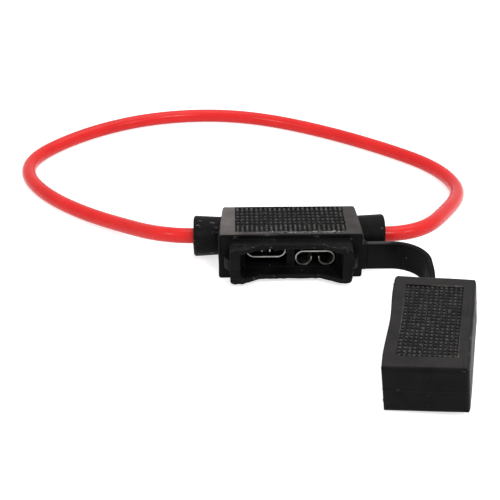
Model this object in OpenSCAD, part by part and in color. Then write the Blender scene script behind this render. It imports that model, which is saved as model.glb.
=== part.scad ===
// In-line holder for a standard blade fuse, in millimetres.
// A soft moulded block grips two crimped terminals and the ends of one uncut loop of wire.
// Its mouth faces -Y, and a moulded strap carries the boot that closes the mouth.
// The origin is on the underside, in the middle of the block, and Z points up.

/* [Block] */
// Width of the block at its front face
block_w = 28.7; // [28.2:0.1:32]
// Width of the block at its back face, narrower by the mould's draft
block_back_w = 26.8; // [26.6:0.1:28.2]
// Depth of the block, front to back
block_d = 12; // [11.5:0.1:16]
// Height of the block
block_h = 10; // [9.6:0.1:14]
// Radius of the back corners, seen from above
block_corner = 1.3; // [0.4:0.1:2]
// Radius of the block's long edges
block_edge = 0.7; // [0.2:0.1:1.2]

/* [Fuse] */
// Width of the fuse's plastic body
fuse_w = 19.1; // [18:0.1:21]
// Thickness of the fuse's plastic body
fuse_t = 5.1; // [4.6:0.1:5.6]
// Distance between the middles of the two blades
blade_pitch = 9.8; // [9.6:0.05:10.2]
// Thickness of a blade with its running room
blade_gap = 0.9; // [0.6:0.05:1]
// Room all round the fuse in the mouth
fuse_clear = 0.3; // [0.1:0.05:0.4]
// More room at each end of the fuse's width
fuse_end_room = 0.2; // [0:0.05:0.3]

/* [Mouth] */
// How far the mouth stands out of the block
mouth_len = 4.2; // [3.6:0.1:6]
// Thickness of the mouth's two side walls
mouth_side = 2; // [1.6:0.05:2.4]
// Thickness of the mouth's upper and lower lips
lip_t = 1.05; // [0.8:0.05:1.3]
// How far the middle of each lip is cut back
lip_cut = 2; // [1:0.1:3]
// Width of the deep part of that cut
lip_cut_w = 12; // [8:0.5:14]
// Width of each sloping end of the cut
lip_slope = 3.7; // [1.5:0.1:4]
// Depth of the socket behind the block's front face
socket_deep = 0.8; // [0.8:0.1:1.6]
// Size of the guide in the socket's lower left corner
key_size = 1; // [0.5:0.1:1.4]

/* [Lugs] */
// How far each latch lug stands out of the mouth's side
lug_out = 1.1; // [0.6:0.1:1.2]
// Height of a lug
lug_h = 2.2; // [1.6:0.1:3.6]
// Length of a lug along the mouth
lug_len = 2; // [1.5:0.1:2.6]
// Gap between a lug and the block's front face
lug_back = 1.3; // [0.8:0.1:1.6]

/* [Terminals] */
// Thickness of the terminals' sheet
sheet_t = 0.3; // [0.25:0.05:0.5]
// Width of a receptacle
terminal_w = 8; // [7:0.1:8.2]
// Outside diameter of a receptacle's rolled edge
curl_d = 3.4; // [2.8:0.1:3.5]
// Length of the rolled edges
curl_len = 5; // [4:0.1:5.2]
// Room between a terminal and its chamber
terminal_clear = 0.1; // [0.05:0.05:0.2]
// How far the terminals stand back from the socket's floor
terminal_back = 0.1; // [0:0.1:0.5]
// Length of the crimp round the bare conductor
core_crimp_len = 2.2; // [1.6:0.1:2.3]
// Length of the crimp round the insulation
jacket_crimp_len = 1.5; // [1:0.1:1.8]

/* [Wire] */
// Diameter over the insulation
wire_d = 3.2; // [2.6:0.1:3.4]
// Diameter of one copper strand
strand_d = 0.64; // [0.56:0.02:0.66]
// Room between a crimp and what it grips
crimp_clear = 0.02; // [0.01:0.01:0.04]

/* [Necks] */
// Diameter of a neck where it leaves the block
neck_root_d = 7.8; // [7:0.1:8.6]
// Diameter of a neck at its outer end
neck_tip_d = 8.3; // [7:0.1:9]
// Distance from the middle of the part to a neck's outer end
neck_reach = 19.4; // [18.5:0.1:24]
// Distance of the necks' axis behind the middle of the block
neck_y = 2.5; // [2.4:0.1:3]
// Radius of a neck's outer rim
neck_rim = 0.5; // [0.2:0.1:0.8]

/* [Strap] */
// Width of the strap, which stands on its edge
strap_w = 5.9; // [4:0.1:6.5]
// Thickness of the strap
strap_t = 1.15; // [0.8:0.05:1.5]
// How far the strap's middle is below the middle of the block
strap_drop = 0.25; // [0:0.05:0.6]
// Radius of the strap's bend beside the block
strap_bend = 6.5; // [5:0.5:8]
// Straight run of the strap beside the block
strap_run = 4.85; // [4:0.05:8]
// Length of the thicker foot at each end of the strap
foot_len = 0.7; // [0.4:0.1:1]
// Extra thickness of a foot where it starts
foot_extra = 1.2; // [0.4:0.1:1.6]

/* [Cap] */
// Room between the cap and the mouth that it covers
cap_clear = 0.12; // [0.1:0.01:0.3]
// Thickness of the cap's two wide walls
cap_wall = 0.6; // [0.5:0.05:1]
// Thickness of the cap's two narrow walls
cap_end = 2.2; // [1.8:0.1:2.6]
// Thickness of the cap's closed wall
cap_floor = 1.2; // [0.8:0.1:2]
// Depth of the cap, from its rim to its closed wall's outside
cap_depth = 14.7; // [13:0.1:18]
// Radius of the cap's edges
cap_edge = 0.9; // [0.3:0.1:1.2]
// Radius of the rim's corner at the strap's end, seen from above
rim_corner = 1.7; // [0.3:0.1:2]
// How far the strap's foot is off the middle of the cap's end, towards the rim
foot_off = 0.6; // [0:0.1:1]
// Place of the middle of the cap's strap end, to the right
cap_x = 25.6; // [24:0.1:28]
// Place of the middle of the cap's strap end, in front
cap_y = -22; // [-26:0.1:-20]
// Turn of the open cap, seen from above
cap_yaw = -12; // [-20:1:0]
// Slope of the open cap along its length
cap_tilt = 0.29; // [0:0.01:1]
// Slope of the open cap from its rim to its closed wall
cap_roll = -6.5; // [-10:0.5:0]

/* [Grip pads] */
// Depth of the pips
pip_depth = 0.4; // [0.2:0.05:0.45]
// Width of the flat top of a pip
pip_flat = 0.16; // [0.05:0.01:0.3]
// Distance between the block's pips across the block
block_pip_x = 0.95; // [0.8:0.05:1.1]
// Distance between the block's pips from front to back
block_pip_y = 1.25; // [1:0.05:1.3]
// Columns of pips on the block
block_cols = 23; // [10:1:24]
// Rows of pips on the block, between its front and back ribs
block_rows = 4; // [1:1:4]
// Length of the ribs along the front of the block's pad
front_rib = 3.3; // [2:0.1:3.4]
// Length of the ribs along the back of the block's pad
back_rib = 2.1; // [1.4:0.1:2.2]
// Distance of the block's pad from its front edge
pad_front = 1.2; // [0.9:0.1:2]
// Distance between the cap's pips across the cap
cap_pip_x = 0.85; // [0.7:0.05:1]
// Distance between the cap's pips along the cap
cap_pip_y = 1; // [0.8:0.05:1.1]
// Columns of pips across the cap
cap_cols = 12; // [6:1:12]
// Rows of pips along the cap
cap_rows = 22; // [10:1:22]

/* [Hidden] */
$fn = 64;
eps = 0.01;
far = 100;
arc_steps = 5;

// Small radii of the moulding's edges
crisp_edge = 0.3;
mouth_edge = 0.8;
hollow_edge = 0.6;
// How deep one shape starts inside another that it is joined to
root = 0.3;
// How far the strands sink into each other
strand_sink = 0.02;
// How far a terminal's plate runs on behind the wire's axis
plate_over = 1.1;
// Gap between a terminal's two crimps
crimp_gap = 0.5;
// Width of the strip that joins them
strip_w = 1.2;
// How far the insulation reaches past its crimp
jacket_over = 0.4;
// Room behind a latch lug's groove in the cap
groove_over = 0.5;
// Step of the cap's pad away from the rim
cap_pad_shift = 0.1;

// Places that follow from the sizes above
mid_z = block_h / 2;
front_y = -block_d / 2;
mouth_w = fuse_w + 2 * (fuse_clear + fuse_end_room + mouth_side);
mouth_h = fuse_t + 2 * fuse_clear + 2 * lip_t;
socket_w = mouth_w - 2 * mouth_side;
socket_h = mouth_h - 2 * lip_t;
socket_y = front_y + socket_deep;
mouth_y = front_y - mouth_len;

// Terminals, as offsets from the blade's middle plane
plate_z = blade_gap / 2;
terminal_y = socket_y + terminal_back;
plate_end_y = neck_y + plate_over;
curl_end_y = terminal_y + curl_len;
terminal_edge = blade_pitch / 2 + terminal_w / 2;
chamber_w = terminal_w + 2 * terminal_clear;
plate_slot = 2 * (plate_z + sheet_t) + 2 * terminal_clear;
core_r = strand_d * 1.5 - strand_sink;
core_bore = core_r + crimp_clear;
core_crimp_r = core_bore + sheet_t;
jacket_bore = wire_d / 2 + crimp_clear;
jacket_crimp_r = jacket_bore + sheet_t;
chamber_side = blade_pitch / 2 + chamber_w / 2;
core_x = chamber_side + terminal_clear / 2;
crimp_step = core_x + core_crimp_len;
jacket_x = crimp_step + crimp_gap;
jacket_end = jacket_x + jacket_crimp_len;
strip_x = crimp_step - 0.1;
conductor_x = terminal_edge - 0.15;

// Places of the grooves across each pad, from its front edge
block_pad_len = front_rib + block_rows * block_pip_y + back_rib;
BLOCK_GROOVES = [0, for (j = [0 : block_rows]) front_rib + j * block_pip_y, block_pad_len];
CAP_GROOVES = [for (j = [0 : cap_rows]) j * cap_pip_y];

// Cap, in its own frame: rim at -X, strap end at Y = 0, free end at -Y, top at Z = 0
cap_len = mouth_w + 2 * cap_clear + 2 * cap_end;
cap_h = mouth_h + 2 * cap_clear + 2 * cap_wall;
rim_x = -cap_depth / 2;
cap_at = [cap_x, cap_y,
          cap_len * sin(cap_tilt)
          + cos(cap_tilt) * (cap_depth / 2 * sin(-cap_roll) + cap_h * cos(cap_roll))];

// Route of the wire, from one stripped end to the other
WIRE_ROUTE = [
    [-jacket_x + jacket_over, neck_y, mid_z], [-15.5, neck_y, mid_z], [-neck_reach, neck_y, mid_z],
    [-22.3, 2.75, 4.95], [-25.1, 3.6, 4.75], [-27.8, 5.15, 4.3], [-30.5, 7.6, 3.5],
    [-35.5, 12.2, 2.4], [-42.5, 17.5, 1.7], [-50.5, 24.3, 1.6], [-55.6, 30.8, 1.6],
    [-58.1, 35.6, 1.6], [-59.2, 40, 1.6], [-58.9, 44.4, 1.6], [-57.2, 48.6, 1.6],
    [-54.2, 52.9, 1.6], [-49.6, 57.9, 1.6], [-43.2, 63.1, 1.6], [-34.5, 67.9, 1.6],
    [-23.5, 70.6, 1.6], [-12, 70.5, 1.6], [-0.5, 67, 1.6], [12, 60, 1.6],
    [22.5, 52.4, 1.6], [30.2, 45.8, 1.6], [34.2, 41.7, 1.6], [37, 37.5, 1.6],
    [38.7, 33, 1.65], [39.3, 28.6, 1.9], [38.7, 24.2, 2.3], [37.1, 19.9, 2.85],
    [35, 15.7, 3.5], [32.7, 11.5, 4.1], [30.6, 8, 4.55], [28.25, 5.45, 4.8],
    [25.5, 3.72, 4.93], [22.5, 2.75, 5],
    [neck_reach, neck_y, mid_z], [15.5, neck_y, mid_z], [jacket_x - jacket_over, neck_y, mid_z]];
WIRE_SIDES = 8;

// Vectors and turns
function unit(v) = v / norm(v);
function turn_x(p, a) = [p.x, p.y * cos(a) - p.z * sin(a), p.y * sin(a) + p.z * cos(a)];
function turn_y(p, a) = [p.x * cos(a) + p.z * sin(a), p.y, p.z * cos(a) - p.x * sin(a)];
function turn_z(p, a) = [p.x * cos(a) - p.y * sin(a), p.x * sin(a) + p.y * cos(a), p.z];
function turned(p) = turn_z(turn_x(turn_y(p, cap_roll), cap_tilt), cap_yaw);
function on_cap(p) = cap_at + turned(p);
function hermite(a, u, b, v, t) =
    a * (2 * t ^ 3 - 3 * t ^ 2 + 1) + u * (t ^ 3 - 2 * t ^ 2 + t)
    + b * (3 * t ^ 2 - 2 * t ^ 3) + v * (t ^ 3 - t ^ 2);

// Path of the strap: a straight run, a quarter turn and a climb to the cap's foot
BEND_STEPS = 8;
CLIMB_STEPS = 8;
strap_x = block_w / 2 + foot_len;
strap_y = front_y + strap_t / 2;
strap_z = mid_z - strap_drop;
bend_at = [strap_x + strap_run, strap_y - strap_bend, strap_z];
bend_end = bend_at + [strap_bend, 0, 0];
strap_out = turned([0, -1, 0]);
strap_end = on_cap([-foot_off, foot_len, -cap_h / 2]);
climb_end = strap_end - root * strap_out;
climb_pull = norm(climb_end - bend_end);
STRAP_PATH = concat(
    [[strap_x, strap_y, strap_z], [strap_x + strap_run / 2, strap_y, strap_z]],
    [for (i = [0 : BEND_STEPS]) let (a = 90 - 90 * i / BEND_STEPS)
        bend_at + strap_bend * [cos(a), sin(a), 0]],
    [for (i = [1 : CLIMB_STEPS])
        hermite(bend_end, [0, -climb_pull, 0], climb_end, climb_pull * strap_out, i / CLIMB_STEPS)],
    [strap_end]);
STRAP_UPS = [for (i = [0 : len(STRAP_PATH) - 1])
    let (share = min(1, max(0, i - 1 - BEND_STEPS) / CLIMB_STEPS))
    unit([0, 0, 1] * (1 - share) + turned([0, 0, 1]) * share)];

// A polygon's corners as arcs, one radius for each corner
function bearing(v) = atan2(v.y, v.x);
function short_way(a) = a > 180 ? a - 360 : a < -180 ? a + 360 : a;
function corner_arc(a, b, c, r) = r == 0 ? [b] :
    let (u = unit(a - b), v = unit(c - b), half = acos(u * v) / 2,
         centre = b + unit(u + v) * r / sin(half),
         start = bearing(b + u * r / tan(half) - centre),
         sweep = short_way(bearing(b + v * r / tan(half) - centre) - start))
    [for (i = [0 : arc_steps]) centre + r * [cos(start + sweep * i / arc_steps),
                                             sin(start + sweep * i / arc_steps)]];
function rounded(points, radii) = let (n = len(points))
    [for (i = [0 : n - 1])
        each corner_arc(points[(i + n - 1) % n], points[i], points[(i + 1) % n], radii[i])];
function box_outline(x0, y0, x1, y1) = [[x0, y0], [x1, y0], [x1, y1], [x0, y1]];

// A tube or band swept along points, with one closed ring of offsets at each
function heading(path, i) =
    unit(path[min(i + 1, len(path) - 1)] - path[max(i - 1, 0)]);
function ring(path, ups, i, section) =
    let (along = heading(path, i), side = unit(cross(along, ups[i])), up = cross(side, along))
    [for (s = section) path[i] + side * s.x + up * s.y];

module swept(path, ups, section) {
    n = len(section);
    last = (len(path) - 1) * n;
    polyhedron(
        points = [for (i = [0 : len(path) - 1]) each ring(path, ups, i, section)],
        faces = concat(
            [[for (k = [0 : n - 1]) k]],
            [for (i = [0 : len(path) - 2], k = [0 : n - 1])
                [i * n + k, (i + 1) * n + k, (i + 1) * n + (k + 1) % n, i * n + (k + 1) % n]],
            [[for (k = [n - 1 : -1 : 0]) last + k]]),
        convexity = 6);
}

// Extrusions of an outline drawn in XZ along Y, and of one drawn in YZ along X
module along_y(y0, y1) translate([0, y1, 0]) rotate([90, 0, 0]) linear_extrude(y1 - y0) children();
module along_x(x0, x1) translate([x0, 0, 0]) rotate([90, 0, 90]) linear_extrude(x1 - x0) children();
module rod_x(x0, x1, y, z, r) translate([x0, y, z]) rotate([0, 90, 0]) cylinder(h = x1 - x0, r = r);

// Grip pad to cut away: crossed grooves that leave rows of pips, its front middle at the origin
module grip_grooves(cols, pitch_x, cross_grooves, pitch_y) {
    pad_w = cols * pitch_x;
    pad_len = cross_grooves[len(cross_grooves) - 1];
    intersection() {
        translate([-pad_w / 2, 0, -pip_depth]) cube([pad_w, pad_len, pip_depth + eps]);
        union() {
            for (i = [0 : cols])
                translate([i * pitch_x - pad_w / 2, 0, 0]) along_y(-eps, pad_len + eps) groove(pitch_x);
            for (y = cross_grooves)
                translate([0, y, 0]) along_x(-pad_w / 2 - eps, pad_w / 2 + eps) groove(pitch_y);
        }
    }
}
module groove(pitch) {
    half = (pitch - pip_flat) / 2;
    polygon([[-half, 0], [0, -pip_depth], [half, 0], [half, 2 * eps], [-half, 2 * eps]]);
}

module right_and_left() {
    children();
    mirror([1, 0, 0]) children();
}
// The same piece turned over about the blades' plane
module turned_over() translate([0, 0, 2 * mid_z]) rotate([0, 180, 0]) children();

// The soft moulding: block, mouth, latch lugs, necks and the root of the strap
module block_form() intersection() {
    linear_extrude(block_h)
        polygon(rounded([[-block_w / 2, front_y], [block_w / 2, front_y],
                         [block_back_w / 2, -front_y], [-block_back_w / 2, -front_y]],
                        [crisp_edge, crisp_edge, block_corner, block_corner]));
    along_y(front_y - far, far)
        polygon(rounded(box_outline(-block_w / 2, 0, block_w / 2, block_h),
                        [block_edge, block_edge, block_edge, block_edge]));
    along_x(-far, far)
        polygon(rounded(box_outline(front_y, 0, -front_y, block_h),
                        [crisp_edge, block_edge, block_edge, crisp_edge]));
}
module mouth_form() difference() {
    along_y(mouth_y, front_y + 1)
        polygon(rounded(box_outline(-mouth_w / 2, mid_z - mouth_h / 2, mouth_w / 2, mid_z + mouth_h / 2),
                        [mouth_edge, mouth_edge, mouth_edge, mouth_edge]));
    translate([0, 0, -eps]) linear_extrude(block_h + 2 * eps)
        polygon([[-lip_cut_w / 2 - lip_slope, mouth_y], [-lip_cut_w / 2, mouth_y + lip_cut],
                 [lip_cut_w / 2, mouth_y + lip_cut], [lip_cut_w / 2 + lip_slope, mouth_y],
                 [lip_cut_w / 2 + lip_slope, mouth_y - 1], [-lip_cut_w / 2 - lip_slope, mouth_y - 1]]);
}
module lug() {
    side = mouth_w / 2;
    back = front_y - lug_back;
    translate([0, 0, mid_z - lug_h / 2]) linear_extrude(lug_h)
        polygon([[side - root, back], [side + lug_out, back], [side + lug_out, back - lug_len / 2],
                 [side + lug_out * 0.3, back - lug_len], [side - root, back - lug_len]]);
}
module neck() translate([0, neck_y, mid_z]) rotate([0, 90, 0]) rotate_extrude()
    polygon([[0, jacket_end - 1], [neck_root_d / 2, jacket_end - 1],
             [neck_root_d / 2, block_w / 2], [neck_tip_d / 2, neck_reach - neck_rim],
             [neck_tip_d / 2 - neck_rim * 0.3, neck_reach - neck_rim * 0.3],
             [neck_tip_d / 2 - neck_rim, neck_reach], [0, neck_reach]]);
// Thicker end of the strap, tapering from x = 0 to the strap's own thickness
module foot() linear_extrude(strap_w, center = true)
    polygon([[-1, -strap_t / 2], [0, -strap_t / 2], [foot_len, -strap_t / 2],
             [foot_len, strap_t / 2], [0, strap_t / 2 + foot_extra], [-1, strap_t / 2 + foot_extra]]);

module socket_hollow() along_y(mouth_y - 1, socket_y)
    polygon([[-socket_w / 2 + key_size, mid_z - socket_h / 2], [socket_w / 2, mid_z - socket_h / 2],
             [socket_w / 2, mid_z + socket_h / 2], [-socket_w / 2, mid_z + socket_h / 2],
             [-socket_w / 2, mid_z - socket_h / 2 + key_size]]);
module chamber_hollow() {
    side = blade_pitch / 2 - chamber_w / 2;
    reach_z = max(curl_d - plate_z - sheet_t, plate_z + sheet_t) + terminal_clear;
    translate([side, socket_y - eps, mid_z - reach_z])
        cube([chamber_w, curl_end_y + terminal_clear - socket_y, 2 * reach_z]);
    translate([side, curl_end_y, mid_z - plate_slot / 2])
        cube([chamber_w, plate_end_y + terminal_clear - curl_end_y, plate_slot]);
    rod_x(chamber_side - eps, strip_x, neck_y, mid_z, core_crimp_r);
    rod_x(strip_x, jacket_end, neck_y, mid_z, jacket_crimp_r);
    rod_x(jacket_end - eps, neck_reach + 1, neck_y, mid_z, jacket_bore);
}

module holder_body() color([0.12, 0.12, 0.13]) difference() {
    union() {
        block_form();
        mouth_form();
        right_and_left() lug();
        right_and_left() neck();
        translate([block_w / 2, strap_y, strap_z]) foot();
    }
    socket_hollow();
    right_and_left() chamber_hollow();
    translate([0, front_y + pad_front, block_h])
        grip_grooves(block_cols, block_pip_x, BLOCK_GROOVES, block_pip_y);
}

// A flag terminal of tinned sheet: plate, two rolled edges, and two crimps out to the side
module rolled_edge() along_y(terminal_y, curl_end_y) difference() {
    circle(d = curl_d);
    circle(d = curl_d - 2 * sheet_t);
    // open from the tip, on the inner side, up to the plate
    polygon([[0, 0], [-curl_d, curl_d * 0.27], [-curl_d, curl_d / 2 - sheet_t],
             [0, curl_d / 2 - sheet_t]]);
}
module terminal_form() difference() {
    union() {
        translate([blade_pitch / 2 - terminal_w / 2 + curl_d / 2, terminal_y, mid_z + plate_z])
            cube([terminal_w - curl_d, curl_len, sheet_t]);
        translate([blade_pitch / 2, 0, mid_z + plate_z])
            linear_extrude(sheet_t) polygon(rounded(
                box_outline(-terminal_w / 2, curl_end_y - root, terminal_w / 2, plate_end_y),
                [0, 0, 0.5, 0.5]));
        translate([terminal_edge - root, neck_y - core_crimp_r * 0.8, mid_z + plate_z])
            cube([core_x - terminal_edge + 2 * root, core_crimp_r * 1.6, sheet_t]);
        for (side = [-1, 1])
            translate([blade_pitch / 2 + side * (terminal_w - curl_d) / 2, 0,
                       mid_z + plate_z + sheet_t - curl_d / 2])
                mirror([side < 0 ? 1 : 0, 0, 0]) rolled_edge();
        rod_x(core_x, crimp_step, neck_y, mid_z, core_crimp_r);
        rod_x(jacket_x, jacket_end, neck_y, mid_z, jacket_crimp_r);
        // strip that joins the two crimps
        translate([strip_x, neck_y - strip_w / 2, mid_z - jacket_bore - eps])
            cube([jacket_x + eps - strip_x, strip_w, jacket_bore + eps - core_bore]);
    }
    rod_x(terminal_edge - root, crimp_step + eps, neck_y, mid_z, core_bore);
    rod_x(jacket_x - jacket_over, jacket_end + 1, neck_y, mid_z, jacket_bore);
}
module right_terminal() color([0.72, 0.72, 0.7]) terminal_form();
module left_terminal() color([0.72, 0.72, 0.7]) turned_over() terminal_form();

// Bare end of the stranded copper conductor, six strands round one
module conductor_form() {
    lay = strand_d - strand_sink;
    rod_x(conductor_x, jacket_x - jacket_over, neck_y, mid_z, strand_d / 2);
    for (turn = [0 : 60 : 300])
        rod_x(conductor_x, jacket_x - jacket_over, neck_y + lay * cos(turn), mid_z + lay * sin(turn),
              strand_d / 2);
}
module right_conductor() color([0.75, 0.42, 0.24]) conductor_form();
module left_conductor() color([0.75, 0.42, 0.24]) turned_over() conductor_form();

// One uncut length of insulated wire, from the left crimp round the loop to the right one
module wire_loop() color([0.85, 0.1, 0.1])
    swept(WIRE_ROUTE, [for (p = WIRE_ROUTE) [0, 0, 1]],
          [for (k = [0 : WIRE_SIDES - 1])
              wire_d / 2 * [cos(k * 360 / WIRE_SIDES), sin(k * 360 / WIRE_SIDES)]]);

// The strap stands on its edge, bends towards the front and climbs to the cap's strap end
module strap() color([0.12, 0.12, 0.13])
    swept(STRAP_PATH, STRAP_UPS,
          box_outline(-strap_t / 2, -strap_w / 2, strap_t / 2, strap_w / 2));

// Foot of the strap on the cap, thicker on both sides where it starts
module cap_foot() {
    wide = (strap_t + foot_extra) / 2;
    thin = strap_t / 2;
    linear_extrude(strap_w, center = true)
        polygon([[-root, -wide], [0, -wide], [foot_len, -thin], [foot_len, thin], [0, wide],
                 [-root, wide]]);
}
// The cap: a boot with five walls that slides over the mouth, open at its rim
module cap_form() intersection() {
    translate([0, 0, -cap_h]) linear_extrude(cap_h)
        polygon(rounded(box_outline(rim_x, -cap_len, -rim_x, 0),
                        [crisp_edge, cap_edge, cap_edge, rim_corner]));
    along_y(-cap_len, 0)
        polygon(rounded(box_outline(rim_x, -cap_h, -rim_x, 0),
                        [crisp_edge, cap_edge, cap_edge, crisp_edge]));
    along_x(rim_x, -rim_x)
        polygon(rounded(box_outline(-cap_len, -cap_h, 0, 0),
                        [cap_edge, cap_edge, cap_edge, cap_edge]));
}
module cap_hollow() {
    groove_len = lug_back + lug_len + groove_over;
    groove_y = cap_end - lug_out - cap_clear;
    groove_h = lug_h + 2 * cap_clear;
    along_x(rim_x - 1, -rim_x - cap_floor)
        polygon(rounded(box_outline(cap_end - cap_len, cap_wall - cap_h, -cap_end, -cap_wall),
                        [hollow_edge, hollow_edge, hollow_edge, hollow_edge]));
    // grooves in the narrow walls, for the mouth's lugs
    translate([rim_x - 1, groove_y - cap_len, -cap_h / 2 - groove_h / 2])
        cube([1 + groove_len, cap_len - 2 * groove_y, groove_h]);
}
module cap() color([0.16, 0.16, 0.17])
    translate(cap_at) rotate([0, 0, cap_yaw]) rotate([cap_tilt, 0, 0]) rotate([0, cap_roll, 0])
        difference() {
            union() {
                cap_form();
                translate([-foot_off, 0, -cap_h / 2]) rotate([0, 0, 90]) cap_foot();
            }
            cap_hollow();
            translate([cap_pad_shift, -(cap_len + cap_rows * cap_pip_y) / 2, 0])
                grip_grooves(cap_cols, cap_pip_x, CAP_GROOVES, cap_pip_y);
        }

holder_body();
left_terminal();
right_terminal();
left_conductor();
right_conductor();
wire_loop();
strap();
cap();
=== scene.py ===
"""Looks of an in-line holder for a blade fuse, in metres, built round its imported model."""
import math
import random

import bmesh
import bpy
from mathutils import Matrix, Vector, noise


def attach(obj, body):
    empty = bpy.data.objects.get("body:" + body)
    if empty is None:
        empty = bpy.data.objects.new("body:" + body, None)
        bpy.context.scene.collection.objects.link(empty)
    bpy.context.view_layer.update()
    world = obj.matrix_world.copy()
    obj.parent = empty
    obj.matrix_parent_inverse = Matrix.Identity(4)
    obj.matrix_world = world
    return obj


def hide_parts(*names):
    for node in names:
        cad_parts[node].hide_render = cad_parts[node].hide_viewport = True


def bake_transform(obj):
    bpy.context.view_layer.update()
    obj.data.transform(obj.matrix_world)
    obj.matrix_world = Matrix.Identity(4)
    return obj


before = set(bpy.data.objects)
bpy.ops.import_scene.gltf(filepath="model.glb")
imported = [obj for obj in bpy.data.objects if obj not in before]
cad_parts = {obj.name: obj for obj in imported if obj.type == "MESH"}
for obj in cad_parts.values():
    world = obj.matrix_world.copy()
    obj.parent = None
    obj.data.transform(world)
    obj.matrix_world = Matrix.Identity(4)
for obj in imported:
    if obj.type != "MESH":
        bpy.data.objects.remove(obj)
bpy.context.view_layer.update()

# Camera
# The photograph was taken from in front of the mouth and above it, with a long lens.
# All places below are worked out in millimetres and turned into metres by this unit.
MM = 0.001
camera = bpy.data.objects.new("camera", bpy.data.cameras.new("camera"))
camera.data.sensor_width = 36
camera.data.lens = 81
camera.location = Vector((-11.47, -196.89, 119.86)) * MM
camera.rotation_euler = (math.radians(59.31), 0, math.radians(-1.02))
bpy.context.scene.collection.objects.link(camera)
bpy.context.scene.camera = camera

# Wire loop
# One uncut length of stranded copper wire in glossy red PVC, 3.2 mm over the insulation.
# It leaves the left neck, lies on the table in a loose loop and goes back into the right neck.
wire_diameter = 3.2 * MM
wire_route = [
    (-11.35, 2.5, 5), (-15.5, 2.5, 5), (-19.4, 2.5, 5),
    (-22.3, 2.75, 4.95), (-25.1, 3.6, 4.75), (-27.8, 5.15, 4.3), (-30.5, 7.6, 3.5),
    (-35.5, 12.2, 2.4), (-42.5, 17.5, 1.7), (-50.5, 24.3, 1.6), (-55.6, 30.8, 1.6),
    (-58.1, 35.6, 1.6), (-59.2, 40, 1.6), (-58.9, 44.4, 1.6), (-57.2, 48.6, 1.6),
    (-54.2, 52.9, 1.6), (-49.6, 57.9, 1.6), (-43.2, 63.1, 1.6), (-34.5, 67.9, 1.6),
    (-23.5, 70.6, 1.6), (-12, 70.5, 1.6), (-0.5, 67, 1.6), (12, 60, 1.6),
    (22.5, 52.4, 1.6), (30.2, 45.8, 1.6), (34.2, 41.7, 1.6), (37, 37.5, 1.6),
    (38.7, 33, 1.65), (39.3, 28.6, 1.9), (38.7, 24.2, 2.3), (37.1, 19.9, 2.85),
    (35, 15.7, 3.5), (32.7, 11.5, 4.1), (30.6, 8, 4.55), (28.25, 5.45, 4.8),
    (25.5, 3.72, 4.93), (22.5, 2.75, 5),
    (19.4, 2.5, 5), (15.5, 2.5, 5), (11.35, 2.5, 5)]


def along_route(name, thickness):
    """the route as one smooth line, or as a tube of some thickness round it"""
    curve = bpy.data.curves.new(name, "CURVE")
    curve.dimensions = "3D"
    curve.bevel_depth = thickness / 2
    curve.bevel_resolution = 8
    curve.use_fill_caps = True
    line = curve.splines.new("NURBS")
    line.points.add(len(wire_route) - 1)
    for point, place in zip(line.points, wire_route):
        point.co = (*(Vector(place) * MM), 1)
    line.order_u = 4
    line.use_endpoint_u = True
    line.resolution_u = 10
    maker = bpy.data.objects.new(name, curve)
    bpy.context.scene.collection.objects.link(maker)
    seen = maker.evaluated_get(bpy.context.evaluated_depsgraph_get())
    mesh = bpy.data.meshes.new_from_object(seen)
    bpy.data.objects.remove(maker)
    bpy.data.curves.remove(curve)
    return mesh


wire_path = [tuple(vert.co) for vert in along_route("wire_middle", 0).vertices]
wire_mesh = along_route("wire_tube", wire_diameter)
wire_mesh.name = "wire_insulation"
wire_mesh.shade_smooth()
wire = bpy.data.objects.new("wire_insulation", wire_mesh)
bpy.context.scene.collection.objects.link(wire)
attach(wire, "holder")
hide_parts("wire_loop")


def new_material(name, **plain):
    """a material's nodes, its links and its Principled shader, with plain values set on the shader"""
    material = bpy.data.materials.new(name)
    material.use_nodes = True
    nodes = material.node_tree.nodes
    shader = nodes["Principled BSDF"]
    for socket, value in plain.items():
        shader.inputs[socket.replace("_", " ")].default_value = value
    return material, nodes, material.node_tree.links, shader


def noise_at(nodes, links, vector, scale, detail=2, roughness=0.5):
    """a Noise texture read at a vector"""
    texture = nodes.new("ShaderNodeTexNoise")
    texture.inputs["Scale"].default_value = scale
    texture.inputs["Detail"].default_value = detail
    texture.inputs["Roughness"].default_value = roughness
    links.new(vector, texture.inputs["Vector"])
    return texture.outputs["Fac"]


def remapped(nodes, links, value, low, high, to_low=0, to_high=1):
    """a value's range low to high, stretched to another and clamped to it"""
    node = nodes.new("ShaderNodeMapRange")
    for socket, number in zip(("From Min", "From Max", "To Min", "To Max"),
                              (low, high, to_low, to_high)):
        node.inputs[socket].default_value = number
    links.new(value, node.inputs["Value"])
    return node.outputs["Result"]


def mixed(nodes, links, mask, dark, light):
    """one colour into another by a mask; each is a colour or a socket"""
    node = nodes.new("ShaderNodeMix")
    node.data_type = "RGBA"
    links.new(mask, node.inputs["Factor"])
    for socket, colour in ((node.inputs["A"], dark), (node.inputs["B"], light)):
        if isinstance(colour, tuple):
            socket.default_value = (*colour, 1)
        else:
            links.new(colour, socket)
    return node.outputs["Result"]


def bumped(nodes, links, height, shader, distance, strength):
    """height pressed into the shader's normal"""
    node = nodes.new("ShaderNodeBump")
    node.inputs["Distance"].default_value = distance
    node.inputs["Strength"].default_value = strength
    links.new(height, node.inputs["Height"])
    links.new(node.outputs["Normal"], shader.inputs["Normal"])


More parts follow.
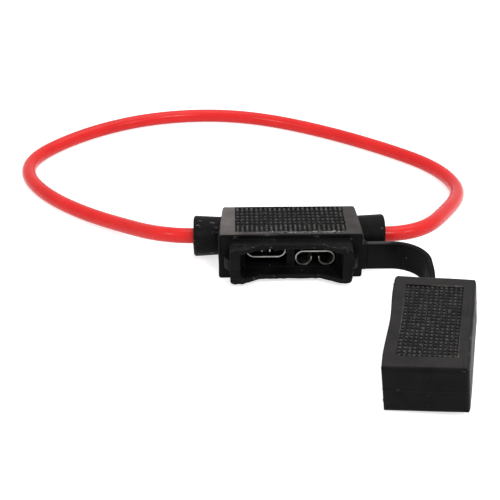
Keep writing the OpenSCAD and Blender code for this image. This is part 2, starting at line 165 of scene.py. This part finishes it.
red_pvc, nodes, links, shader = new_material("red_pvc", Specular_IOR_Level=0.2)
place = nodes.new("ShaderNodeTexCoord").outputs["Object"]
cloudy = noise_at(nodes, links, place, scale=90, detail=3)
smears = noise_at(nodes, links, place, scale=420, detail=4, roughness=0.6)
deep_red, bright_red = (0.72, 0.013, 0.014), (0.84, 0.026, 0.024)
links.new(mixed(nodes, links, remapped(nodes, links, cloudy, 0.3, 0.7), deep_red, bright_red),
          shader.inputs["Base Color"])
links.new(remapped(nodes, links, smears, 0.3, 0.75, to_low=0.2, to_high=0.27), shader.inputs["Roughness"])
bumped(nodes, links, noise_at(nodes, links, place, scale=500), shader, distance=0.03 * MM, strength=0.15)
wire_mesh.materials.clear()
wire_mesh.materials.append(red_pvc)

# Black PVC
# The block, the strap and the cap are shot in one soft black compound with a satin skin.
# Handling leaves pale scuffs and specks of dust; a grey sheen on what faces up and pale lines along the
# edges and on the pips' tips are painted highlights.
deep_black, thin_black = (0.0042, 0.0042, 0.0046), (0.0085, 0.0082, 0.0085)
# The first three greys are painted light: a sheen on what faces up, a highlight along edges and one on the
# tips of pips.
sheen_grey, edge_highlight_grey, tip_highlight_grey = (0.17, 0.156, 0.15), (0.12, 0.117, 0.113), (0.1, 0.098, 0.095)
scuff_grey, torn_white, dust_white = (0.14, 0.13, 0.125), (0.42, 0.42, 0.4), (0.5, 0.5, 0.48)
black_skin = bpy.data.node_groups.new("black_skin", "ShaderNodeTree")
for name, value in (("Painted Sheen", 0), ("Scuffs", 0.2), ("Torn", 0), ("Edge Highlight", 1), ("Tip Highlight", 0)):
    given_socket = black_skin.interface.new_socket(name, in_out="INPUT", socket_type="NodeSocketFloat")
    given_socket.default_value = value
for name, kind in (("Color", "NodeSocketColor"), ("Roughness", "NodeSocketFloat"),
                   ("Height", "NodeSocketFloat")):
    black_skin.interface.new_socket(name, in_out="OUTPUT", socket_type=kind)
nodes, links = black_skin.nodes, black_skin.links
given = nodes.new("NodeGroupInput")
result = nodes.new("NodeGroupOutput")
place = nodes.new("ShaderNodeTexCoord").outputs["Object"]


def product(nodes, links, first, *others):
    """values multiplied; those after the first may be numbers"""
    total = first
    for other in others:
        node = nodes.new("ShaderNodeMath")
        node.operation = "MULTIPLY"
        links.new(total, node.inputs[0])
        if isinstance(other, (int, float)):
            node.inputs[1].default_value = other
        else:
            links.new(other, node.inputs[1])
        total = node.outputs[0]
    return total


clouds = remapped(nodes, links, noise_at(nodes, links, place, scale=260, detail=4), 0.35, 0.7)
grain = noise_at(nodes, links, place, scale=7000)
streaks = noise_at(nodes, links, place, scale=1500, detail=5, roughness=0.7)
streaks = remapped(nodes, links, streaks, 0.58, 0.7)
patches = remapped(nodes, links, noise_at(nodes, links, place, scale=300), 0.5, 0.62)
specks = nodes.new("ShaderNodeTexVoronoi")
specks.inputs["Scale"].default_value = 520
links.new(place, specks.inputs["Vector"])
dust = remapped(nodes, links, specks.outputs["Distance"], 0.035, 0.06, to_low=1, to_high=0)
shreds = noise_at(nodes, links, place, scale=2600, detail=4, roughness=0.7)
shreds = remapped(nodes, links, shreds, 0.5, 0.6)
# Painted highlight along the edges: pointiness picks them out, noise breaks them up.
edges = nodes.new("ShaderNodeNewGeometry").outputs["Pointiness"]
edge_light = remapped(nodes, links, edges, 0.522, 0.6, to_high=0.7)
broken = remapped(nodes, links, noise_at(nodes, links, place, scale=1100, detail=3), 0.4, 0.62, to_low=0.25)
even = remapped(nodes, links, clouds, 0, 1, to_low=0.6)
colour = mixed(nodes, links, clouds, deep_black, thin_black)
# Painted light over the black's own tone: a grey sheen, then highlights along edges and on pip tips; scuffs,
# torn flash and dust follow.
colour = mixed(nodes, links, product(nodes, links, even, given.outputs["Painted Sheen"]), colour, sheen_grey)
colour = mixed(nodes, links, product(nodes, links, edge_light, broken, given.outputs["Edge Highlight"]), colour, edge_highlight_grey)
colour = mixed(nodes, links, product(nodes, links, broken, given.outputs["Tip Highlight"]), colour, tip_highlight_grey)
colour = mixed(nodes, links, product(nodes, links, streaks, patches, given.outputs["Scuffs"]),
               colour, scuff_grey)
colour = mixed(nodes, links, product(nodes, links, shreds, given.outputs["Torn"]), colour, torn_white)
colour = mixed(nodes, links, product(nodes, links, dust, patches, 0.5), colour, dust_white)
links.new(colour, result.inputs["Color"])
links.new(remapped(nodes, links, clouds, 0, 1, to_low=0.4, to_high=0.55), result.inputs["Roughness"])
links.new(grain, result.inputs["Height"])


def black_pvc(name):
    """the black compound for one piece: its material, nodes and links, and the skin it is made of"""
    material, nodes, links, shader = new_material(name, Specular_IOR_Level=0.05)
    skin = nodes.new("ShaderNodeGroup")
    skin.node_tree = black_skin
    links.new(skin.outputs["Color"], shader.inputs["Base Color"])
    links.new(skin.outputs["Roughness"], shader.inputs["Roughness"])
    bumped(nodes, links, skin.outputs["Height"], shader, distance=0.02 * MM, strength=0.5)
    return material, nodes, links, skin


def split(nodes, links, vector):
    """the three parts of a vector"""
    node = nodes.new("ShaderNodeSeparateXYZ")
    links.new(vector, node.inputs[0])
    return node.outputs


def within(nodes, links, value, low, high, soft):
    """1 where a value lies between low and high, fading to 0 over soft on each side"""
    rise = remapped(nodes, links, value, low - soft, low + soft)
    fall = remapped(nodes, links, value, high - soft, high + soft, to_low=1, to_high=0)
    return product(nodes, links, rise, fall)


def facing_up(nodes, links, level):
    """level where a surface faces up, fading to 0 where it leans"""
    normal = nodes.new("ShaderNodeNewGeometry").outputs["Normal"]
    return remapped(nodes, links, split(nodes, links, normal)[2], 0.8, 0.98, to_high=level)


def all_but(nodes, links, mask):
    """the rest of a mask"""
    return remapped(nodes, links, mask, 0, 1, to_low=1, to_high=0)


# Holder moulding
# One soft PVC moulding: block, mouth, latch lugs and two necks, shot round the crimped terminals.
# The mould leaves every edge a little round, a fine ridge where its halves met, and torn flash
# along the front of the grip pad.
holder_pitch = 0.08 * MM
block_front = -6 * MM
block_top = 10 * MM
parting_z = 5 * MM
ridge_height, ridge_width = 0.07 * MM, 0.09 * MM
wall_lean = 0.3
mouth_outside = 11 * MM
lip_front = -8 * MM
lip_inside = 2.7 * MM
pad_x = (-10.9 * MM, 10.9 * MM)
pad_y = (-4.75 * MM, 5.55 * MM)
pad_edge = 0.05 * MM


def copy_of(node):
    """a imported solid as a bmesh, its loose triangles merged"""
    shell = bmesh.new()
    shell.from_mesh(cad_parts[node].data)
    bmesh.ops.remove_doubles(shell, verts=shell.verts, dist=0.001 * MM)
    return shell


def add_fleck(shell, place, size, turn, chance):
    """a small torn fleck of flash: a cube pulled out of square"""
    made = bmesh.ops.create_cube(shell, size=1, matrix=Matrix.LocRotScale(
        place, Matrix.Rotation(turn, 3, "Z"), Vector(size)))
    pull = 0.25
    for vert in made["verts"]:
        vert.co += Vector([chance.uniform(-pull, pull) * side for side in size])


def melted(shell, name, pitch, rounds):
    """closed forms that overlap, made one skin by voxels and softened at its edges"""
    mesh = bpy.data.meshes.new(name)
    shell.to_mesh(mesh)
    shell.free()
    piece = bpy.data.objects.new(name, mesh)
    bpy.context.scene.collection.objects.link(piece)
    skin = piece.modifiers.new("skin", "REMESH")
    skin.mode = "VOXEL"
    skin.voxel_size = pitch
    soft = piece.modifiers.new("soft", "SMOOTH")
    soft.factor = 0.5
    soft.iterations = rounds
    settle(piece)
    return piece


def settle(piece):
    """a piece's modifiers made part of its mesh"""
    seen = piece.evaluated_get(bpy.context.evaluated_depsgraph_get())
    mesh = bpy.data.meshes.new_from_object(seen)
    piece.modifiers.clear()
    piece.data = mesh


def thinned(piece, triangles):
    """a piece brought down to about so many triangles, most of them where it curves"""
    count = sum(len(face.vertices) - 2 for face in piece.data.polygons)
    thin = piece.modifiers.new("thin", "DECIMATE")
    thin.ratio = min(1, triangles / count)
    settle(piece)
    for face in piece.data.polygons:
        face.use_smooth = True


def pressed(piece, height):
    """every vertex moved along its normal by height(place, normal)"""
    shell = bmesh.new()
    shell.from_mesh(piece.data)
    shell.normal_update()
    moves = [(vert, vert.normal * height(vert.co, vert.normal)) for vert in shell.verts]
    for vert, move in moves:
        vert.co += move
    shell.to_mesh(piece.data)
    shell.free()


def waviness(place, size, height):
    """the slow unevenness of a soft moulding's walls"""
    return height * noise.noise(place / size)


def ridge(place, distance):
    """height of the uneven parting ridge at a place some distance from the parting plane"""
    unevenness = 0.7 + 0.3 * noise.noise(place / MM)
    return ridge_height * math.exp(-(distance / ridge_width) ** 2) * unevenness


def holder_height(place, normal):
    """how far the block's surface lies off its solid; the mouth only shrinks, so the cap goes over it"""
    rise = waviness(place, size=5 * MM, height=0.04 * MM)
    if place.y < lip_front and abs(place.z - parting_z) > lip_inside:
        rise += waviness(place, size=1.6 * MM, height=0.2 * MM)
    if place.y < block_front:
        rise = -abs(rise)
    outside = place.y > block_front or abs(place.x) > mouth_outside
    if abs(normal.z) < wall_lean and outside:
        rise += ridge(place, place.z - parting_z)
    return rise


holder_shell = copy_of("holder_body")
chance = random.Random(7)
# Torn flash in mm, as two corners of a box and the number of flecks in it: along the front of
# the pad, under the mouth's roof and beside the left neck
flash_boxes = (((-6, -5.3, 9.95), (9.5, -4.85, 10.05), 34),
               ((-8, -8.5, 7.7), (4, -8.2, 7.95), 14),
               ((-16.5, -1.2, 7.4), (-14.5, -0.9, 8), 6))
fleck_sizes = ((0.25, 1.2), (0.15, 0.34), (0.15, 0.32))
most_turn = 0.6
for low, high, count in flash_boxes:
    for fleck in range(count):
        middle = [chance.uniform(a, b) * MM for a, b in zip(low, high)]
        size = [chance.uniform(a, b) * MM for a, b in fleck_sizes]
        add_fleck(holder_shell, Vector(middle), size, chance.uniform(-most_turn, most_turn), chance)
holder = melted(holder_shell, "holder_moulding", holder_pitch, rounds=1)
pressed(holder, holder_height)
thinned(holder, triangles=190000)
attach(holder, "holder")
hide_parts("holder_body")
holder_pvc, nodes, links, skin = black_pvc("holder_pvc")
x, y, z = split(nodes, links, nodes.new("ShaderNodeTexCoord").outputs["Object"])
on_top = remapped(nodes, links, z, block_top - 0.6 * MM, block_top - 0.4 * MM)
pad = product(nodes, links, within(nodes, links, x, *pad_x, pad_edge),
              within(nodes, links, y, *pad_y, pad_edge))
# Painted sheen on the block's top outside the pad, lighter towards the left, standing in for light on it.
to_the_left = remapped(nodes, links, x, -11 * MM, -9 * MM, to_low=0.95, to_high=0.42)
links.new(product(nodes, links, facing_up(nodes, links, 1), on_top, to_the_left,
                  all_but(nodes, links, pad)), skin.inputs["Painted Sheen"])
# Painted highlight on the tips of the pad's pips.
pip_tip_highlight = remapped(nodes, links, z, block_top - 0.24 * MM, block_top - 0.02 * MM)
links.new(product(nodes, links, pad, pip_tip_highlight), skin.inputs["Tip Highlight"])
# The painted edge highlight is left off the edges inside the socket.
socket = product(nodes, links, within(nodes, links, x, -10.3 * MM, 10.3 * MM, 0.1 * MM),
                 within(nodes, links, z, 2 * MM, 8 * MM, 0.1 * MM))
links.new(all_but(nodes, links, socket), skin.inputs["Edge Highlight"])
pad_flash = product(nodes, links, within(nodes, links, x, -6 * MM, 10 * MM, 1.5 * MM), on_top,
                    within(nodes, links, y, -5.35 * MM, -4.8 * MM, 0.15 * MM))
corner_flash = product(nodes, links, within(nodes, links, x, 14.15 * MM, 14.45 * MM, 0.08 * MM),
                       within(nodes, links, y, -6.3 * MM, -5.8 * MM, 0.1 * MM),
                       remapped(nodes, links, z, 7.6 * MM, 8 * MM, to_high=0.3))
either = nodes.new("ShaderNodeMath")
either.operation = "MAXIMUM"
links.new(pad_flash, either.inputs[0])
links.new(corner_flash, either.inputs[1])
links.new(either.outputs[0], skin.inputs["Torn"])
holder.data.materials.clear()
holder.data.materials.append(holder_pvc)

# Cap
# The boot that closes the mouth, moulded with the block and carried by the strap.
# It lies with its opening to the left, a ridge round its middle and nubs of flash at its rim.
cap_pitch = 0.08 * MM
cap_yaw, cap_tilt, cap_roll = (math.radians(a) for a in (-12, 0.29, -6.5))
cap_depth, cap_len, cap_h = 14.7 * MM, 28.74 * MM, 9.24 * MM
cap_top = (cap_len * math.sin(cap_tilt)
           + math.cos(cap_tilt) * (cap_depth / 2 * math.sin(-cap_roll) + cap_h * math.cos(cap_roll)))
cap_place = (Matrix.Translation((25.6 * MM, -22 * MM, cap_top)) @ Matrix.Rotation(cap_yaw, 4, "Z")
             @ Matrix.Rotation(cap_tilt, 4, "X") @ Matrix.Rotation(cap_roll, 4, "Y"))

rim = -cap_depth / 2
cap_skin = 1 * MM
groove_depth = 0.7 * MM
rim_wave, rim_wave_length, rim_wave_reach = 0.16 * MM, 3.1 * MM, 5 * MM
cap_taper = 0.035
cap_shear, shear_start, shear_rise = 0.09, 2.4 * MM, 6 * MM


def sagged(place):
    """a place on the cap as the soft moulding really lies: wider at its strap end, its rim wavy"""
    x, y, z = place
    at_rim = max(0, 1 - (x - rim) / rim_wave_reach)
    x += rim_wave * at_rim * (1 + math.sin(y / rim_wave_length))
    x += (x - rim) * cap_taper * (y / cap_len + 0.5)
    y -= cap_shear * x * min(1, max(0, (y + cap_len - shear_start) / shear_rise))
    return Vector((x, y, z))


def cap_height(place, normal):
    """how far the cap's surface lies off its solid; its hollow only grows, so it goes over the mouth"""
    rise = waviness(place, size=6 * MM, height=0.05 * MM)
    hollow = place.x < cap_depth / 2 - cap_skin and -cap_len + groove_depth < place.y < -groove_depth
    if hollow:
        rise = -abs(rise)
    elif abs(normal.z) < wall_lean:
        rise += ridge(place, place.z + cap_h / 2)
    return rise


cap_shell = copy_of("cap")
bmesh.ops.transform(cap_shell, matrix=cap_place.inverted(), verts=cap_shell.verts)
chance = random.Random(11)
nub_size = [0.5 * MM] * 3
nub_x = rim + 0.22 * MM
for nub_y, nub_z in ((-2.6, -0.9), (-28, -4.6), (-27.9, -7.4)):
    add_fleck(cap_shell, Vector((nub_x, nub_y * MM, nub_z * MM)), nub_size, 0.3, chance)
cap = melted(cap_shell, "cap_boot", cap_pitch, rounds=1)
pressed(cap, cap_height)
for vert in cap.data.vertices:
    vert.co = sagged(vert.co)
thinned(cap, triangles=180000)
cap.data.transform(cap_place)
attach(cap, "cap")
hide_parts("cap")
cap_pvc, nodes, links, skin = black_pvc("cap_pvc")
skin.inputs["Scuffs"].default_value = 0.15
# Painted sheen on the cap's upward faces.
links.new(facing_up(nodes, links, 0.16), skin.inputs["Painted Sheen"])
on_cap = nodes.new("ShaderNodeMapping")
on_cap.vector_type = "TEXTURE"
on_cap.inputs["Location"].default_value = cap_place.translation
on_cap.inputs["Rotation"].default_value = cap_place.to_euler()
links.new(nodes.new("ShaderNodeTexCoord").outputs["Object"], on_cap.inputs["Vector"])
x, y, z = split(nodes, links, on_cap.outputs["Vector"])
pad = product(nodes, links, within(nodes, links, x, -5 * MM, 5.2 * MM, pad_edge),
              within(nodes, links, y, -25.4 * MM, -3.3 * MM, pad_edge))
# Painted highlight on the tips of the cap pad's pips.
pip_tip_highlight = remapped(nodes, links, z, -0.26 * MM, -0.04 * MM)
links.new(product(nodes, links, pad, pip_tip_highlight), skin.inputs["Tip Highlight"])
cap.data.materials.clear()
cap.data.materials.append(cap_pvc)

# Strap
# The flat band between the block and the cap, moulded with both. It stands on its edge, runs
# straight out of the block, turns a quarter to the front and climbs to the cap's foot.
strap_w, strap_t = 5.9 * MM, 1.15 * MM
strap_bend = 6.5 * MM
strap_start = Vector((15.05, -5.425, 4.75)) * MM
strap_run = 4.85 * MM
strap_edge = 0.25 * MM
sharp_angle = 1.2
strap_foot = cap_place @ Vector((-0.6 * MM, 0.7 * MM, -cap_h / 2))
strap_out = cap_place.to_3x3() @ Vector((0, -1, 0))
strap_up = cap_place.to_3x3() @ Vector((0, 0, 1))
bend_start = strap_start + Vector((strap_run, 0, 0))
bend_centre = bend_start - Vector((0, strap_bend, 0))
bend_end = bend_centre + Vector((strap_bend, 0, 0))


def station(place, along, up):
    """the frame of one cross section: X across the band's thickness, Y up its width, Z along it"""
    along = along.normalized()
    side = along.cross(up).normalized()
    return Matrix.Translation(place) @ Matrix((side, side.cross(along), along)).transposed().to_4x4()


def climb(share):
    """the frame at a share of the way from the end of the quarter turn to the cap's foot"""
    reach = (strap_foot - bend_end).length
    start_pull, end_pull = Vector((0, -reach, 0)), strap_out * reach
    a, b, t = bend_end, strap_foot, share
    place = (a * (2 * t ** 3 - 3 * t ** 2 + 1) + start_pull * (t ** 3 - 2 * t ** 2 + t)
             + b * (3 * t ** 2 - 2 * t ** 3) + end_pull * (t ** 3 - t ** 2))
    along = (a * (6 * t ** 2 - 6 * t) + start_pull * (3 * t ** 2 - 4 * t + 1)
             + b * (6 * t - 6 * t ** 2) + end_pull * (3 * t ** 2 - 2 * t))
    return station(place, along, Vector((0, 0, 1)).lerp(strap_up, t))


run_steps, turn_steps, climb_steps, steps_on = 8, 20, 24, 2
strap_stations = [station(strap_start.lerp(bend_start, i / run_steps), Vector((1, 0, 0)),
                          Vector((0, 0, 1))) for i in range(run_steps)]
for i in range(turn_steps):
    angle = math.pi / 2 * i / turn_steps
    out = Vector((math.sin(angle), math.cos(angle), 0))
    strap_stations.append(station(bend_centre + out * strap_bend,
                                  Vector((math.cos(angle), -math.sin(angle), 0)), Vector((0, 0, 1))))
strap_stations += [climb(i / climb_steps) for i in range(climb_steps + 1)]


def band(name, stations):
    """the strap's rounded section, extruded from one station to the next"""
    shell = bmesh.new()
    bmesh.ops.create_grid(shell, x_segments=1, y_segments=6, size=0.5)
    bmesh.ops.transform(shell, matrix=stations[0] @ Matrix.Diagonal((strap_t, strap_w, 1, 1)),
                        verts=shell.verts)
    face_ends = list(shell.faces)
    here = face_ends
    for before, after in zip(stations, stations[1:]):
        made = bmesh.ops.extrude_face_region(shell, geom=here, use_keep_orig=before is stations[0])
        here = [g for g in made["geom"] if isinstance(g, bmesh.types.BMFace)]
        verts = list({vert for face in here for vert in face.verts})
        bmesh.ops.transform(shell, matrix=after @ before.inverted(), verts=verts)
    bmesh.ops.recalc_face_normals(shell, faces=shell.faces)
    long_edges = [edge for edge in shell.edges if edge.calc_face_angle(0) > sharp_angle
                  and not any(face in face_ends or face in here for face in edge.link_faces)]
    bmesh.ops.bevel(shell, geom=long_edges, offset=strap_edge, segments=3, profile=0.5,
                    affect="EDGES", material=-1)
    mesh = bpy.data.meshes.new(name)
    shell.to_mesh(mesh)
    shell.free()
    mesh.shade_smooth()
    piece = bpy.data.objects.new(name, mesh)
    bpy.context.scene.collection.objects.link(piece)
    return piece


# The bend of the band is shared by two joints, so it parts just past the turn into root and tip
parting = run_steps + turn_steps + steps_on
strap_pvc, nodes, links, skin = black_pvc("strap_pvc")
# No painted edge highlight on the strap.
skin.inputs["Edge Highlight"].default_value = 0
x, y, z = split(nodes, links, nodes.new("ShaderNodeTexCoord").outputs["Object"])
scraped = product(nodes, links, within(nodes, links, x, 16.8 * MM, 19.4 * MM, 0.5 * MM),
                  within(nodes, links, z, 3 * MM, 5 * MM, 0.5 * MM))
links.new(remapped(nodes, links, scraped, 0, 1, to_low=0.15, to_high=0.9), skin.inputs["Scuffs"])
# Painted highlight along the strap's upper edge near the block.
upper_edge = remapped(nodes, links, z, 7.55 * MM, 7.7 * MM, to_high=0.35)
near_block = within(nodes, links, x, 14 * MM, 19.5 * MM, 0.5 * MM)
links.new(product(nodes, links, near_block, upper_edge), skin.inputs["Painted Sheen"])
strap_root = band("strap_root", strap_stations[:parting + 1])
strap_tip = band("strap_tip", strap_stations[parting:])
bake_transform(strap_root)
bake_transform(strap_tip)
for piece in (strap_root, strap_tip):
    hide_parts("strap")
    piece.data.materials.append(strap_pvc)

# Terminals
# Two receptacles of tin-plated brass sheet, a plate with both edges rolled over it.
# Each is crimped on an end of the wire and moulded into the block, the left one turned over.
tin, nodes, links, shader = new_material("tin_plate", Metallic=1.0)
place = nodes.new("ShaderNodeTexCoord").outputs["Object"]
dull = noise_at(nodes, links, place, scale=900, detail=4)
# The tin is painted darker than bright tin, as painted shade for the dim mouth it sits in.
shaded_tin_dark, shaded_tin_pale = (0.2, 0.195, 0.18), (0.42, 0.41, 0.39)
links.new(mixed(nodes, links, remapped(nodes, links, dull, 0.35, 0.7), shaded_tin_dark, shaded_tin_pale),
          shader.inputs["Base Color"])
links.new(remapped(nodes, links, dull, 0.3, 0.7, to_low=0.25, to_high=0.45), shader.inputs["Roughness"])
bumped(nodes, links, noise_at(nodes, links, place, scale=2500), shader, distance=0.01 * MM, strength=0.4)
terminal_pitch = 0.05 * MM
terminal_triangles = 60000
for side in ("left", "right"):
    terminal = melted(copy_of(f"{side}_terminal"), f"{side}_receptacle", terminal_pitch, rounds=1)
    thinned(terminal, terminal_triangles)
    terminal.data.materials.clear()
    terminal.data.materials.append(tin)
    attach(terminal, "holder")
    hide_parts(f"{side}_terminal")

# Conductors
# The stripped ends of the wire, six copper strands laid round one in each terminal's crimp.
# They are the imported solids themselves, in a drawn copper finish.
copper, nodes, links, shader = new_material("bare_copper", Metallic=1.0)
place = nodes.new("ShaderNodeTexCoord").outputs["Object"]
drawn = noise_at(nodes, links, place, scale=1800, detail=3)
dark_copper, light_copper = (0.62, 0.26, 0.13), (0.85, 0.45, 0.27)
links.new(mixed(nodes, links, drawn, dark_copper, light_copper), shader.inputs["Base Color"])
links.new(remapped(nodes, links, drawn, 0.3, 0.7, to_low=0.25, to_high=0.4), shader.inputs["Roughness"])
for name in ("left_conductor", "right_conductor"):
    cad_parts[name].data.materials.clear()
    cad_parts[name].data.materials.append(copper)

# Table and light
# A white table in a white room, under a wide soft box.
# Small ones in front and at both sides draw the pale lines along the wire.
table_mesh = bmesh.new()
bmesh.ops.create_grid(table_mesh, x_segments=1, y_segments=1, size=3)
table_data = bpy.data.meshes.new("table")
table_mesh.to_mesh(table_data)
table_mesh.free()
table = bpy.data.objects.new("table", table_data)
bpy.context.scene.collection.objects.link(table)
white, nodes, links, shader = new_material("white_table", Base_Color=(0.82, 0.82, 0.82, 1),
                                           Roughness=0.7, Specular_IOR_Level=0.1)


def seen_rays(nodes, links, strength):
    """strength where a camera, glossy or transmission ray looks, and nothing elsewhere"""
    path = nodes.new("ShaderNodeLightPath")
    total = None
    for ray in ("Is Camera Ray", "Is Glossy Ray", "Is Transmission Ray"):
        if total is None:
            total = path.outputs[ray]
            continue
        add = nodes.new("ShaderNodeMath")
        add.operation = "ADD"
        add.use_clamp = True
        links.new(total, add.inputs[0])
        links.new(path.outputs[ray], add.inputs[1])
        total = add.outputs[0]
    return product(nodes, links, total, strength)


shader.inputs["Emission Color"].default_value = (1, 1, 1, 1)
links.new(seen_rays(nodes, links, strength=0.68), shader.inputs["Emission Strength"])
table_data.materials.append(white)

world = bpy.data.worlds.new("studio")
bpy.context.scene.world = world
world.use_nodes = True
nodes, links = world.node_tree.nodes, world.node_tree.links
background = nodes["Background"]
background.inputs["Color"].default_value = (1, 1, 1, 1)
light_level = nodes.new("ShaderNodeMath")
light_level.operation = "ADD"
light_level.inputs[1].default_value = 0.45
links.new(seen_rays(nodes, links, strength=0.55), light_level.inputs[0])
links.new(light_level.outputs[0], background.inputs["Strength"])


def soft_box(name, place, size, power):
    """an area lamp that looks from its place at the block"""
    lamp = bpy.data.lights.new(name, "AREA")
    lamp.size = size
    lamp.energy = power
    box = bpy.data.objects.new(name, lamp)
    box.location = place
    box.rotation_euler = Vector(place).to_track_quat("Z", "Y").to_euler()
    bpy.context.scene.collection.objects.link(box)


soft_box("overhead", (0.1, 0.15, 0.6), size=0.5, power=1.6)
soft_box("front", (0.15, -0.45, 0.5), size=0.12, power=1.1)
soft_box("right", (0.5, -0.42, 0.42), size=0.14, power=0.7)
soft_box("left", (-0.45, -0.38, 0.42), size=0.14, power=0.7)

bpy.context.scene.view_settings.view_transform = "Standard"
